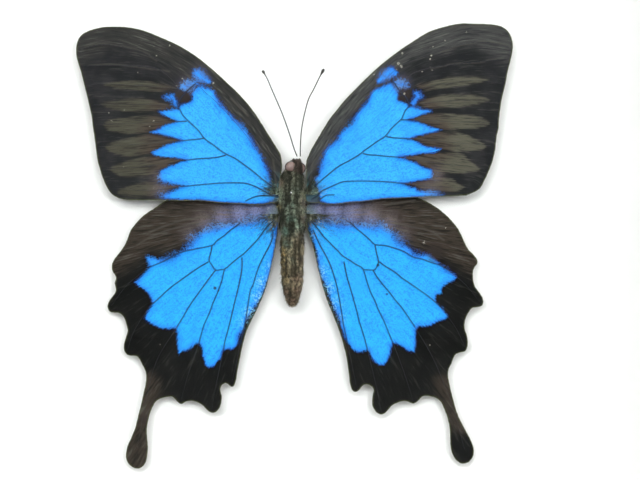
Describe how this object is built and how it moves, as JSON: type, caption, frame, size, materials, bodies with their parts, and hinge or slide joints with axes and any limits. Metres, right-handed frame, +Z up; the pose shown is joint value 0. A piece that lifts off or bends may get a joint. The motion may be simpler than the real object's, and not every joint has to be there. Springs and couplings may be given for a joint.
{
  "type": "framed butterfly specimen",
  "caption": "Dried blue swallowtail butterfly, spread and pinned on a white board inside a glazed black wooden box frame that stands or hangs.",
  "frame": {"origin": "bottom centre of the whole thing: midway across the frame, midway through its depth with the fittings on its back, on the surface it stands on", "axes": "+X to the viewer's right, +Z up, and the glass faces -Y"},
  "size_m": [0.21, 0.036, 0.21],
  "materials": {
    "black_stained_wood": "satin black stain over open grain",
    "clear_glass": "clear float glass, polished",
    "white_paper": "matte white paper over foam strip",
    "white_board": "matte white mount board with a faint grain",
    "brown_hardboard": "matte pressed hardboard",
    "zinc_plated_steel": "bright zinc plate",
    "felt_pad": "dense black felt",
    "body_fur": "dry cuticle under olive-grey hair and scales",
    "wing_scales": "metallic blue scales with velvet black and brown borders",
    "antenna_horn": "dark horn",
    "pin_steel": "polished pin wire"
  },
  "bodies": {
    "root": {"frame_rail_top": "black_stained_wood", "frame_rail_bottom": "black_stained_wood", "frame_rail_left": "black_stained_wood", "frame_rail_right": "black_stained_wood", "glass_pane": "clear_glass", "spacer_top": "white_paper", "spacer_bottom": "white_paper", "spacer_left": "white_paper", "spacer_right": "white_paper", "mount_board": "white_board", "backboard": "brown_hardboard", "fixing_point_top_1": "zinc_plated_steel", "fixing_point_top_2": "zinc_plated_steel", "fixing_point_bottom_1": "zinc_plated_steel", "fixing_point_bottom_2": "zinc_plated_steel", "fixing_point_left_1": "zinc_plated_steel", "fixing_point_left_2": "zinc_plated_steel", "fixing_point_right_1": "zinc_plated_steel", "fixing_point_right_2": "zinc_plated_steel", "hanger_plate": "zinc_plated_steel", "hanger_nail_left": "zinc_plated_steel", "hanger_nail_right": "zinc_plated_steel", "wall_bumper_left": "felt_pad", "wall_bumper_right": "felt_pad", "body": "body_fur", "forewing_left": "wing_scales", "forewing_right": "wing_scales", "hindwing_left": "wing_scales", "hindwing_right": "wing_scales", "antenna_left": "antenna_horn", "antenna_right": "antenna_horn", "pin": "pin_steel"}
  },
  "joints": []
}
